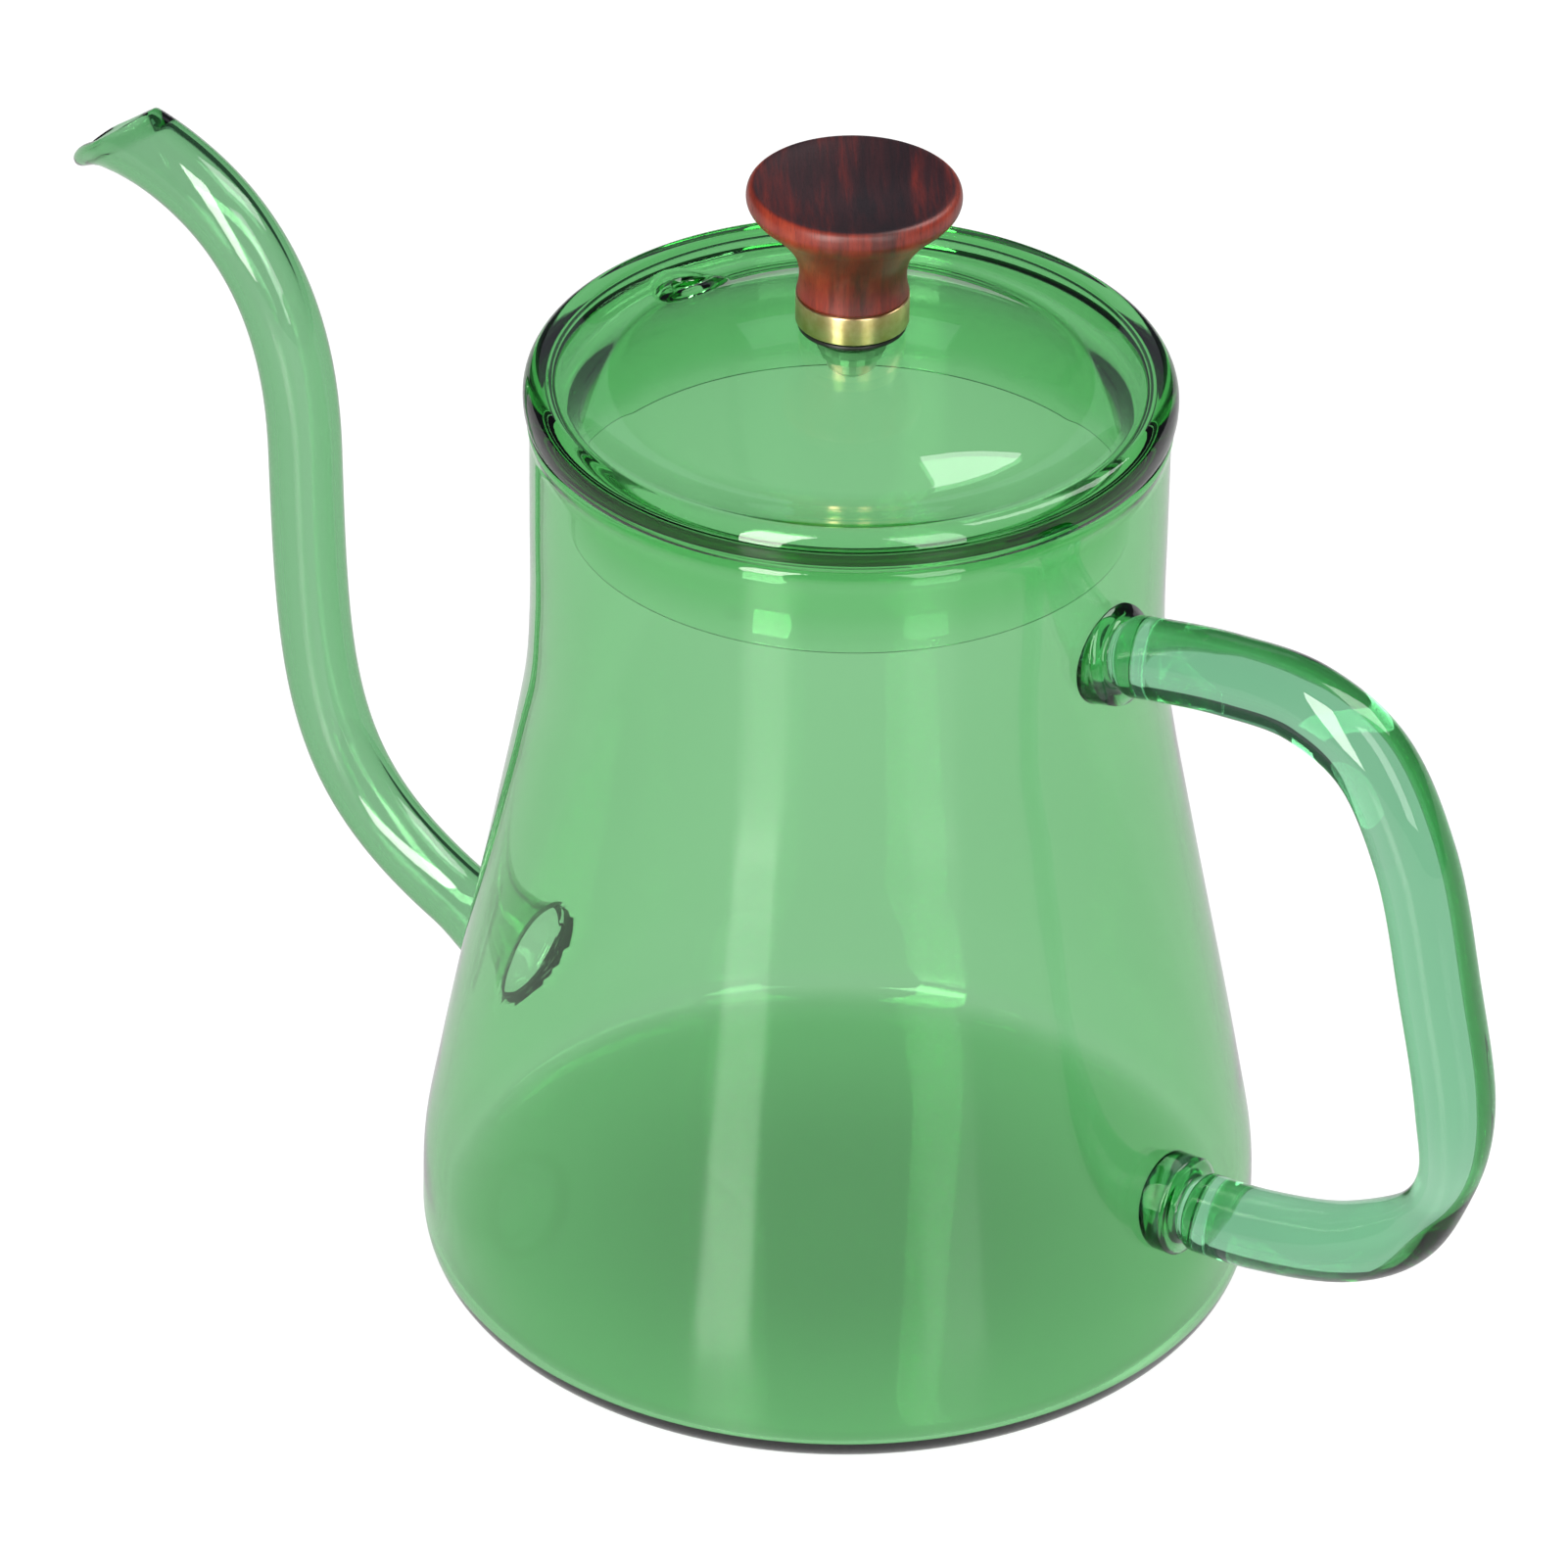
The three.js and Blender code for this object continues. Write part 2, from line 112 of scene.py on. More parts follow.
SPOUT_ROOT_RADIUS = 6.4 * MM
SPOUT_RADIUS = 4.75 * MM
ROOT_FILLET = 1.4 * MM  # the tube opens out where it meets the wall
SPOUT_TIP_RADIUS = 5.0 * MM
SPOUT_WALL = 1.3 * MM
SPOUT_MOUTH_RAKE = 4.2 * MM
SPOUT_LIP_REACH = 1.7 * MM
SPOUT_LIP_DROOP = 1.8 * MM
SPOUT_LIP_HOOK = 1.4 * MM
SPOUT_RIM_SWELL = 0.5 * MM
SPOUT_RISE = ((-47.5, 22.8), (-86, 34.2), (-86.8, 47), (-87.6, 87.6))  # x and z in millimetres
SPOUT_BEND = ((-87.6, 87.6), (-87.8, 98.6), (-89.4, 122.3), (-117.5, 126.3))
SPOUT_FLARE_SHARES = (0.03, 0.12)  # shares of the tube's length, from the wall to the mouth
ROOT_FILLET_SHARES = (0.035, 0.065)
SPOUT_MOUTH_SHARES = (0.9, 1)
SPOUT_RIM_SHARES = (0.975, 1)
SPOUT_HOLE_PLACE = (-53.2 * MM, 0, 24.5 * MM)  # where the tube's axis meets the wall
SPOUT_HOLE_AXIS = (20, 0, -6)  # into the body
BORE_FLARE = 0.7 * MM  # rounding of the hole's inner edge
BORE_FLARE_DEPTH = 0.9 * MM
BORE_BEFORE = 6 * MM
BORE_AFTER = 12 * MM

HANDLE_RADIUS = 5.2 * MM
HANDLE_ROUTE = (  # x and z of the rod's axis, in millimetres
    (37.5, 103.9), (47.4, 106.3), (58, 108), (69, 108.2), (78.6, 103.8), (85.6, 92), (90.2, 74.3),
    (93.4, 58), (93, 47.5), (88.8, 38.8), (79.6, 32), (66, 28), (50, 26.5),
)
HANDLE_PINCH = 1.5 * MM  # the rod is thinner at its tight lower bend
HANDLE_PINCH_SHARE = 0.685
HANDLE_PINCH_WIDTH = 0.06
FOOT_IN_WALL = (3 * MM, 3.5 * MM)  # length of the rod inside the wall, at the top and at the bottom
FOOT_RADIUS = 6.5 * MM
FOOT_LENGTH = 1.3 * MM
FOOT_EASE = 0.8 * MM
FOOT_GROOVE = 0.9 * MM
FOOT_GROOVE_REACH = (0.9 * MM, 2.6 * MM)

KNOB_DISH = 1.7 * MM
KNOB_EDGE_DROP = 0.12 * MM
KNOB_WAIST = 6.75 * MM
KNOB_BORE = 3.3 * MM
SPIGOT_RADIUS = 5.6 * MM
SPIGOT_END_GAP = 0.1 * MM
SPIGOT_SHOULDER_GAP = 0.05 * MM  # between the wood's shoulder and the ferrule
FERRULE_BORE = 5.9 * MM
FERRULE_CHAMFER = 0.12 * MM
WASHER_BORE = 1.9 * MM
WASHER_CHAMFER = 0.15 * MM
WOOD_GRAIN_TURN = math.radians(38)  # between the streaks and the plane of the spout and handle
WOOD_SHADED_TOP_DEPTH = (2 * MM, 3 * MM)  # the cap's top face, painted darker as shade, gives way to the red side here
WOOD_SHADED_TOP_MARGIN = (1.1 * MM, 0.5 * MM)

WELD = 0.5 * MM  # how far a fused piece sinks into the wall it is fused to
RIM_STEPS = 8  # steps round a fire-polished rim


# ---------------------------------------------------------------- mesh tools


def piece_from(name, verts, faces):
    mesh = bpy.data.meshes.new(name)
    mesh.from_pydata([tuple(v) for v in verts], [], faces)
    mesh.validate()
    mesh.update()
    obj = bpy.data.objects.new(name, mesh)
    bpy.context.scene.collection.objects.link(obj)
    for polygon in mesh.polygons:
        polygon.use_smooth = True
    return obj


def revolve(name, outline, segments):
    """Turns a list of (radius, height) about Z. It runs anticlockwise, closed or from axis to axis."""
    closed = math.dist(outline[0], outline[-1]) < 1e-9
    points = outline[:-1] if closed else outline
    verts = []
    rows = []
    for radius, height in points:
        if radius < 1e-9:
            rows.append([len(verts)] * segments)
            verts.append((0, 0, height))
            continue
        rows.append(list(range(len(verts), len(verts) + segments)))
        for k in range(segments):
            angle = 2 * math.pi * k / segments
            verts.append((radius * math.cos(angle), radius * math.sin(angle), height))
    faces = []
    pairs = list(zip(rows, rows[1:] + (rows[:1] if closed else [])))
    for low, high in pairs:
        for k in range(segments):
            following = (k + 1) % segments
            corners = [low[k], low[following], high[following], high[k]]
            distinct = list(dict.fromkeys(corners))
            if len(distinct) > 2:
                faces.append(distinct)
    return piece_from(name, verts, faces)


def bezier(p0, p1, p2, p3, count):
    """A cubic curve from p0 to p3, as count steps."""
    points = []
    for i in range(count + 1):
        t = i / count
        s = 1 - t
        weights = (s**3, 3 * s * s * t, 3 * s * t * t, t**3)
        controls = list(zip(weights, (p0, p1, p2, p3)))
        points.append(tuple(sum(w * p[a] for w, p in controls) for a in range(len(p0))))
    return points


def catmull(points, count):
    """A smooth curve through points, centripetal, as evenly spaced samples."""
    points = [Vector(p) for p in points]
    ends = [2 * points[0] - points[1]] + points + [2 * points[-1] - points[-2]]
    fine = []
    steps = 40
    for a, b, c, d in zip(ends, ends[1:], ends[2:], ends[3:]):
        t0, t1 = 0, (b - a).length ** 0.5
        t2 = t1 + (c - b).length ** 0.5
        t3 = t2 + (d - c).length ** 0.5
        for i in range(steps):
            t = t1 + (t2 - t1) * i / steps
            a1 = a * ((t1 - t) / (t1 - t0)) + b * ((t - t0) / (t1 - t0))
            a2 = b * ((t2 - t) / (t2 - t1)) + c * ((t - t1) / (t2 - t1))
            a3 = c * ((t3 - t) / (t3 - t2)) + d * ((t - t2) / (t3 - t2))
            b1 = a1 * ((t2 - t) / (t2 - t0)) + a2 * ((t - t0) / (t2 - t0))
            b2 = a2 * ((t3 - t) / (t3 - t1)) + a3 * ((t - t1) / (t3 - t1))
            fine.append(b1 * ((t2 - t) / (t2 - t1)) + b2 * ((t - t1) / (t2 - t1)))
    fine.append(points[-1])
    return evenly(fine, count)


def evenly(fine, count):
    """Samples of a curve at equal distances along it."""
    lengths = [0]
    for before, after in zip(fine, fine[1:]):
        lengths.append(lengths[-1] + (Vector(after) - Vector(before)).length)
    samples = []
    k = 0
    for i in range(count + 1):
        want = lengths[-1] * i / count
        while k < len(lengths) - 2 and lengths[k + 1] < want:
            k += 1
        share = (want - lengths[k]) / max(lengths[k + 1] - lengths[k], 1e-12)
        samples.append(Vector(fine[k]).lerp(Vector(fine[k + 1]), share))
    return samples


def offset(outline, distance):
    """Moves an outline to the left of the way it runs."""
    moved = []
    for i, here in enumerate(outline):
        before = outline[max(i - 1, 0)]
        after = outline[min(i + 1, len(outline) - 1)]
        along = (Vector(after) - Vector(before)).normalized()
        moved.append((here[0] - along.y * distance, here[1] + along.x * distance))
    return moved


def oval(centre, radii, start, end, count):
    """Part of an ellipse, between two angles in degrees."""
    points = []
    for i in range(count + 1):
        angle = math.radians(start + (end - start) * i / count)
        across, up = radii[0] * math.cos(angle), radii[1] * math.sin(angle)
        points.append((centre[0] + across, centre[1] + up))
    return points


def arc(centre, radius, start, end, count):
    return oval(centre, (radius, radius), start, end, count)


def smoothstep(value, low, high):
    t = min(max((value - low) / (high - low), 0), 1)
    return t * t * (3 - 2 * t)


def sweep(name, path, sides, radius_at, inner_radius_at=None, shift=None):
    """A round section along a path in the XZ plane: a rod, or a tube with a rounded far rim."""
    count = len(path) - 1
    sideways = Vector((0, 1, 0))
    verts = []

    def ring(share, radius, ahead=0):
        i = round(share * count)
        tangent = (path[min(i + 1, count)] - path[max(i - 1, 0)]).normalized()
        upward = sideways.cross(tangent)
        made = []
        for k in range(sides):
            angle = 2 * math.pi * k / sides
            up, side = math.cos(angle), math.sin(angle)
            along, out = shift(share, up) if shift else (0, 0)
            made.append(len(verts))
            place = path[i] + upward * (up * (radius + out)) + sideways * (side * radius)
            verts.append(place + tangent * (along + ahead))
        return made

    rings = [ring(i / count, radius_at(i / count)) for i in range(count + 1)]
    if inner_radius_at:
        middle = (radius_at(1) + inner_radius_at(1)) / 2
        half = (radius_at(1) - inner_radius_at(1)) / 2
        for i in range(1, RIM_STEPS):
            angle = math.pi * i / RIM_STEPS
            rings.append(ring(1, middle + half * math.cos(angle), half * math.sin(angle)))
        rings += [ring(i / count, inner_radius_at(i / count)) for i in range(count, -1, -1)]
    faces = []
    pairs = list(zip(rings, rings[1:]))
    if inner_radius_at:
        pairs.append((rings[-1], rings[0]))
    for low, high in pairs:
        for k in range(sides):
            following = (k + 1) % sides
            faces.append([low[k], low[following], high[following], high[k]])
    if not inner_radius_at:
        faces += [rings[0][::-1], rings[-1]]
    return piece_from(name, verts, faces)


def cut(obj, other):
    """Takes other out of obj, and deletes other."""
    modifier = obj.modifiers.new("cut", "BOOLEAN")
    modifier.object = other
    modifier.operation = "DIFFERENCE"
    modifier.solver = "EXACT"
    graph = bpy.context.evaluated_depsgraph_get()
    result = bpy.data.meshes.new_from_object(obj.evaluated_get(graph))
    obj.modifiers.remove(modifier)
    old = obj.data
    obj.data = result
    result.name = obj.name
    bpy.data.meshes.remove(old)
    bpy.data.objects.remove(other)
    for polygon in result.polygons:
        polygon.use_smooth = True


# ---------------------------------------------------------------- the body


def body_outside():
    """The body's outer wall from the edge of the flat base to just under the rim."""
    widest = (BODY_RADIUS, WIDEST_HEIGHT)
    corner = bezier((BASE_FLAT_RADIUS, 0), *BASE_CORNER, widest, 24)
    taper = [(radius * MM, height * MM) for radius, height in WALL_LEVELS]
    neck = [(NECK_RADIUS, height) for height in NECK_LEVELS]
    wall = [(p.x, p.y) for p in catmull([widest] + taper + neck, 110)]
    return corner + wall[1:]


def build_body():
    """The blown vessel: one closed wall from the underside over the rim to the floor."""
    outside = body_outside()
    inside = [p for p in offset(outside, WALL) if p[1] > FLOOR + FLOOR_CORNER_RISE][::-1]
    bead_centre = (NECK_RADIUS - BEAD_INSET, RIM_HEIGHT - BEAD_RADIUS)
    bead = arc(bead_centre, BEAD_RADIUS, -20, 200, 20)
    last = inside[-1]
    steep = (last[0] - 0.3 * MM, FLOOR + 0.2 * MM)
    floor_corner = bezier(last, steep, (FLOOR_CORNER_RADIUS, FLOOR), (FLOOR_FLAT_RADIUS, FLOOR), 12)
    steps = 16
    floor = [(FLOOR_FLAT_RADIUS * (1 - i / steps), FLOOR) for i in range(1, steps + 1)]
    underside = [(BASE_FLAT_RADIUS * i / steps, 0) for i in range(steps)]
    outline = underside + outside + bead + inside + floor_corner[1:] + floor
    body = revolve("kettle_body_glass", outline, BODY_SEGMENTS)
    cut(body, spout_bore())
    return body


def spout_bore():
    """The hole through the wall into the spout, flared smoothly towards the inside of the kettle."""
    narrow = SPOUT_ROOT_RADIUS + ROOT_FILLET - SPOUT_WALL
    wide = narrow + BORE_FLARE
    curve = []
    for degrees in range(0, 91, 10):
        a = math.radians(degrees)
        curve.append((narrow + BORE_FLARE * (1 - math.cos(a)), BORE_FLARE_DEPTH * math.sin(a)))
    start = [(0, -BORE_BEFORE), (narrow, -BORE_BEFORE)]
    bore = revolve("bore", start + curve + [(wide, BORE_AFTER), (0, BORE_AFTER)], 64)
    into_body = Vector(SPOUT_HOLE_AXIS).normalized()
    turn = Vector((0, 0, 1)).rotation_difference(into_body).to_matrix().to_4x4()
    bore.data.transform(Matrix.Translation(SPOUT_HOLE_PLACE) @ turn)
    return bore


def body_core(depth):
    """A solid block of the body's outside, taken in by depth, for trimming what is fused to it."""
    skin = offset(body_outside(), depth)
    outline = [(0, depth)] + skin + [(NECK_RADIUS - depth, RIM_HEIGHT), (0, RIM_HEIGHT)]
    return revolve("core", outline, BODY_SEGMENTS)


# ---------------------------------------------------------------- spout and handle


def in_plane(points):
    """Points of the plane of the spout and the handle, from x and z in millimetres."""
    return [Vector((x * MM, 0, z * MM)) for x, z in points]


def build_spout():
    """The gooseneck tube, from its flared root in the wall to the raked mouth with its drip lip."""
    rise = bezier(*in_plane(SPOUT_RISE), 120)
    bend = bezier(*in_plane(SPOUT_BEND), 80)
    path = evenly(rise + bend[1:], 220)

    def outer(share):
        flare = (SPOUT_ROOT_RADIUS - SPOUT_RADIUS) * (1 - smoothstep(share, *SPOUT_FLARE_SHARES))
        fillet = ROOT_FILLET * (1 - smoothstep(share, *ROOT_FILLET_SHARES))
        return SPOUT_RADIUS + (SPOUT_TIP_RADIUS - SPOUT_RADIUS) * share + flare + fillet

    def inner(share):
        return outer(share) - SPOUT_WALL - SPOUT_RIM_SWELL * smoothstep(share, *SPOUT_RIM_SHARES)

    def mouth(share, up):
        near = smoothstep(share, *SPOUT_MOUTH_SHARES)
        lip = max(0, -up) ** 3
        along = near * (-SPOUT_MOUTH_RAKE * up + SPOUT_LIP_REACH * lip)
        hook = SPOUT_LIP_HOOK * smoothstep(share, *SPOUT_RIM_SHARES)
        out = (near**2 * SPOUT_LIP_DROOP + hook) * lip
        return along, out

    spout = sweep("spout_tube_glass", path, 48, outer, inner, mouth)
    cut(spout, body_core(WELD))
    return spout


def build_handle():
    """The bent rod, with a pressed disc at each end."""
    path = catmull(in_plane(HANDLE_ROUTE), 420)
    length = sum((b - a).length for a, b in zip(path, path[1:]))
    groove_start, groove_end = (FOOT_LENGTH + reach for reach in FOOT_GROOVE_REACH)

    def radius(share):
        from_wall = min(share * length - FOOT_IN_WALL[0], (1 - share) * length - FOOT_IN_WALL[1])
        foot = 1 - smoothstep(from_wall, FOOT_LENGTH, FOOT_LENGTH + FOOT_EASE)
        groove = FOOT_GROOVE * (1 - smoothstep(from_wall, groove_start, groove_end))
        bend = math.exp(-(((share - HANDLE_PINCH_SHARE) / HANDLE_PINCH_WIDTH) ** 2))
        rod = HANDLE_RADIUS - HANDLE_PINCH * bend - groove
        return rod + (FOOT_RADIUS - rod) * foot

    handle = sweep("handle_rod_glass", path, 64, radius)
    cut(handle, body_core(WELD))
    return handle


# ---------------------------------------------------------------- the lid


def dome_height(radius):
    """Height of the dome's upper face at a distance from the axis."""
    return DOME_TOP - DOME_CURVATURE + math.sqrt(DOME_CURVATURE**2 - radius**2)


def lid_top():
    """The lid's upper surface, from the flange's side over the crest to the screw hole."""
    widest = FLANGE_BOTTOM + FLANGE_LOWER_ROUND[1]
    across, up = FLANGE_UPPER_ROUND
    crest = (LID_RADIUS - across, widest + FLANGE_SIDE + up)
    slope = DOME_EDGE / math.sqrt(DOME_CURVATURE**2 - DOME_EDGE**2)
    reach = SADDLE * (crest[0] - DOME_EDGE)
    edge = (DOME_EDGE, dome_height(DOME_EDGE))
    saddle = bezier(
        crest, (crest[0] - reach, crest[1] + CREST_LEAN * reach),
        (edge[0] + reach, edge[1] - reach * slope), edge, 24,
    )
    dome = []
    for i in range(1, DOME_STEPS + 1):
        radius = DOME_EDGE + (SCREW_HOLE_RADIUS - DOME_EDGE) * i / DOME_STEPS
        dome.append((radius, dome_height(radius)))
    return saddle + dome


def lid_outline():
    """The lid's section: a thin dome and a flaring skirt, fused together in the thick flange."""
    inner = SKIRT_RADIUS - LID_WALL
    top = lid_top()
    underside = [p for p in offset(top, LID_WALL) if p[0] < GROOVE_RADIUS][::-1]
    hollow_bottom = FLANGE_BOTTOM + FLANGE_WEB
    hollow_end = underside[-1]
    half = (hollow_end[1] - hollow_bottom) / 2
    groove = arc((hollow_end[0], hollow_bottom + half), half, 90, -90, 12)
    start = groove[-1]
    flare = bezier(
        start, (start[0] - 0.31 * (start[0] - inner), hollow_bottom),
        (inner, FLARE_START + 0.56 * (hollow_bottom - FLARE_START)), (inner, FLARE_START), 18,
    )
    edge = SKIRT_EDGE / 2
    thin = SKIRT_RADIUS - edge
    taper = bezier(
        (inner, SKIRT_BOTTOM + 6 * MM), (inner, SKIRT_BOTTOM + 4 * MM),
        (thin - edge, SKIRT_BOTTOM + 2 * MM), (thin - edge, SKIRT_BOTTOM + edge), 12,
    )
    skirt_end = taper + arc((thin, SKIRT_BOTTOM + edge), edge, 180, 360, 10)[1:]
    under_flange = bezier(
        (SKIRT_RADIUS, FLANGE_BOTTOM - 1.4 * FLARE_RADIUS),
        (SKIRT_RADIUS, FLANGE_BOTTOM - 0.3 * FLARE_RADIUS),
        (SKIRT_RADIUS + 0.3 * FLARE_RADIUS, FLANGE_BOTTOM),
        (SKIRT_RADIUS + FLARE_RADIUS, FLANGE_BOTTOM), 14,
    )
    widest = FLANGE_BOTTOM + FLANGE_LOWER_ROUND[1]
    below = oval((LID_RADIUS - FLANGE_LOWER_ROUND[0], widest), FLANGE_LOWER_ROUND, -90, 0, 12)
    above_centre = (LID_RADIUS - FLANGE_UPPER_ROUND[0], widest + FLANGE_SIDE)
    above = oval(above_centre, FLANGE_UPPER_ROUND, 0, 90, 20)
    inside = underside + groove[1:] + flare[1:] + skirt_end
    outside = under_flange + below + above + top[1:]
    return inside + outside + [underside[0]]


def spread(outline, longest):
    """Splits the long straight stretches of an outline into equal steps."""
    fine = [outline[0]]
    for before, after in zip(outline, outline[1:]):
        steps = max(1, math.ceil(math.dist(before, after) / longest))
        for i in range(1, steps + 1):
            fine.append(tuple(b + (a - b) * i / steps for a, b in zip(after, before)))
    return fine


def build_lid():
    """The lid's glass, with the vent's collar and its hole."""
    lid = revolve("lid_glass_dome", spread(lid_outline(), 1.2 * MM), BODY_SEGMENTS)
    raise_vent_collar(lid)
    tilt = Matrix.Rotation(math.asin(VENT_DISTANCE / DOME_CURVATURE), 4, "Y")
    place = Matrix.Translation((VENT_DISTANCE, 0, dome_height(VENT_DISTANCE)))
    around_axis = Matrix.Rotation(VENT_ANGLE, 4, "Z")
    hole = revolve("hole", vent_spool(), 48)
    hole.data.transform(around_axis @ place @ tilt)
    cut(lid, hole)
    return lid


def vent_spool():
    """The vent hole's shape: narrow in the middle, and rounded over at both faces of the glass."""
    top = VENT_COLLAR_HEIGHT
    bottom = -LID_WALL
    past = 1 * MM
    wide = VENT_HOLE_RADIUS + VENT_LIP
    below = arc((wide, bottom + VENT_LIP), VENT_LIP, 270, 180, 6)
    above = arc((wide, top - VENT_LIP), VENT_LIP, 180, 90, 6)
    start = [(0, bottom - past), (wide, bottom - past)]
    end = [(wide, top + past), (0, top + past)]
    return start + below + above + end


def raise_vent_collar(lid):
    """Refines the dome around the vent, and lifts a round collar of glass there."""
    centre = Vector((
        VENT_DISTANCE * math.cos(VENT_ANGLE),
        VENT_DISTANCE * math.sin(VENT_ANGLE),
        dome_height(VENT_DISTANCE),
    ))
    grid = bmesh.new()
    grid.from_mesh(lid.data)
    inside = {v for v in grid.verts if (v.co - centre).length < VENT_PATCH_RADIUS}
    near = [e for e in grid.edges if all(v in inside for v in e.verts)]
    bmesh.ops.subdivide_edges(grid, edges=near, cuts=2, use_grid_fill=True)
    sphere_centre = Vector((0, 0, DOME_TOP - DOME_CURVATURE))
    slope_start = VENT_COLLAR_RADIUS - VENT_COLLAR_EASE
    for vert in grid.verts:
        from_sphere = (vert.co - sphere_centre).length
        on_top = from_sphere > DOME_CURVATURE - LID_WALL / 2
        if on_top and (vert.co - centre).length <= VENT_PATCH_RADIUS:
            outward = (vert.co - sphere_centre).normalized()
            across = (outward * DOME_CURVATURE + sphere_centre - centre).length
            share = 1 - smoothstep(across, slope_start, VENT_COLLAR_RADIUS)
            vert.co += outward * (VENT_COLLAR_HEIGHT * share)
    grid.to_mesh(lid.data)
    grid.free()


# ---------------------------------------------------------------- the knob


def build_knob():
    """The turned handle of the lid: a spigot inside the ferrule, a waisted stem and a dished cap."""
    top = wood_high[2]
    cap = wood_high[0]
    base = ferrule_high[2]
    stem = ferrule_high[0] - SPIGOT_SHOULDER_GAP
    bore_top = insert_high[2] + GAP
    side = [
        (stem, base + GAP), (KNOB_WAIST, base + 1.9 * MM), (KNOB_WAIST, base + 3.6 * MM),
        (7.25 * MM, base + 5.5 * MM), (8.7 * MM, base + 7.8 * MM), (11 * MM, base + 10.3 * MM),
        (12.6 * MM, base + 11.8 * MM), (cap - 0.15 * MM, top - 2.4 * MM), (cap, top - 1.5 * MM),
        (cap - 0.3 * MM, top - 0.45 * MM), (cap - 1.0 * MM, top),
        (cap - 1.7 * MM, top - KNOB_EDGE_DROP),
    ]
    side = [(p.x, p.y) for p in catmull(side, 90)]
    dish_radius = side[-1][0]
    dish = []
    steps = 30
    for i in range(1, steps + 1):
        radius = dish_radius * (1 - i / steps)
        depth = KNOB_DISH * (1 - (radius / dish_radius) ** 2) + KNOB_EDGE_DROP
        dish.append((radius, top - depth))
    spigot_end = ferrule_low[2] + SPIGOT_END_GAP
    shoulder = base + SPIGOT_SHOULDER_GAP
    inside = [
        (0, bore_top), (KNOB_BORE, bore_top), (KNOB_BORE, spigot_end), (SPIGOT_RADIUS, spigot_end),
        (SPIGOT_RADIUS, shoulder), (stem - 0.25 * MM, shoulder),
    ]
    return revolve("knob_wood_turned", inside + side + dish, 128)


def ring_piece(name, node, inner_radius, chamfer):
    """A turned ring in the place of a CAD ring, with eased edges."""
    low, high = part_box(node)
    outer, bottom, top = high[0], low[2], high[2]
    outline = [
        (inner_radius, bottom), (outer - chamfer, bottom), (outer, bottom + chamfer),
        (outer, top - chamfer), (outer - chamfer, top), (inner_radius, top), (inner_radius, bottom),
    ]
    obj = revolve(name, outline, 96)
    bevel_edges(obj, chamfer * 0.4)
    return obj


def bevel_edges(obj, width):
    """Eases the sharp edges of a mesh."""
    bevel = obj.modifiers.new("bevel", "BEVEL")
    bevel.width = width
    bevel.segments = 2
    bevel.limit_method = "ANGLE"
    bevel.angle_limit = math.radians(25)
    graph = bpy.context.evaluated_depsgraph_get()
    result = bpy.data.meshes.new_from_object(obj.evaluated_get(graph))
    obj.modifiers.clear()
    obj.data = result


# ---------------------------------------------------------------- materials


def material(name):
    """A new material, with the parts of its node tree that every material here uses."""
    made = bpy.data.materials.new(name)
    made.use_nodes = True
    nodes = made.node_tree.nodes
    return made, nodes, made.node_tree.links, nodes["Principled BSDF"], nodes["Material Output"]


def glass_material(name, absorption_colour, density, waviness):
    """Clear coloured glass: the colour comes from absorption along the path through it."""
    made, nodes, links, shader, output = material(name)
    shader.inputs["Base Color"].default_value = (0.97, 1.0, 0.975, 1)
    shader.inputs["Roughness"].default_value = 0.0
    shader.inputs["IOR"].default_value = 1.473
    shader.inputs["Transmission Weight"].default_value = 1.0
    volume = nodes.new("ShaderNodeVolumeAbsorption")
    volume.inputs["Color"].default_value = (*absorption_colour, 1)
    volume.inputs["Density"].default_value = density
    links.new(volume.outputs["Volume"], output.inputs["Volume"])
    place = nodes.new("ShaderNodeTexCoord")
    wave = nodes.new("ShaderNodeTexNoise")
    wave.inputs["Scale"].default_value = 38
    wave.inputs["Detail"].default_value = 1.5
    bump = nodes.new("ShaderNodeBump")
    bump.inputs["Strength"].default_value = waviness
    bump.inputs["Distance"].default_value = 0.4 * MM
    links.new(place.outputs["Object"], wave.inputs["Vector"])
    links.new(wave.outputs["Fac"], bump.inputs["Height"])
    links.new(bump.outputs["Normal"], shader.inputs["Normal"])
    return made


def dress(obj, made):
    """Gives a piece its one material."""
    obj.data.materials.clear()
    obj.data.materials.append(made)


body_glass = glass_material("body_glass", (0.04, 0.75, 0.14), 300, 0.15)
lid_glass = glass_material("lid_glass", (0.04, 0.75, 0.14), 300, 0.1)
rod_glass = glass_material("rod_glass", (0.04, 0.717, 0.317), 120, 0.15)
spout_glass = glass_material("spout_glass", (0.036, 0.657, 0.157), 440, 0.15)

body = build_body()
spout = build_spout()
handle = build_handle()
lid = build_lid()
knob = build_knob()
dress(body, body_glass)
dress(spout, spout_glass)
dress(handle, rod_glass)
dress(lid, lid_glass)


def noise_texture(nodes, links, vector, scale, detail, roughness=0.5):
    texture = nodes.new("ShaderNodeTexNoise")
    texture.inputs["Scale"].default_value = scale
    texture.inputs["Detail"].default_value = detail
    texture.inputs["Roughness"].default_value = roughness
    links.new(vector, texture.inputs["Vector"])
    return texture.outputs["Fac"]


def colour_ramp(nodes, links, factor, stops):
    ramp = nodes.new("ShaderNodeValToRGB")
    elements = ramp.color_ramp.elements
    while len(elements) < len(stops):
        elements.new(0.5)
    for element, (position, colour) in zip(elements, stops):
        element.position = position
        element.color = (*colour, 1)
    links.new(factor, ramp.inputs["Fac"])
    return ramp.outputs["Color"]


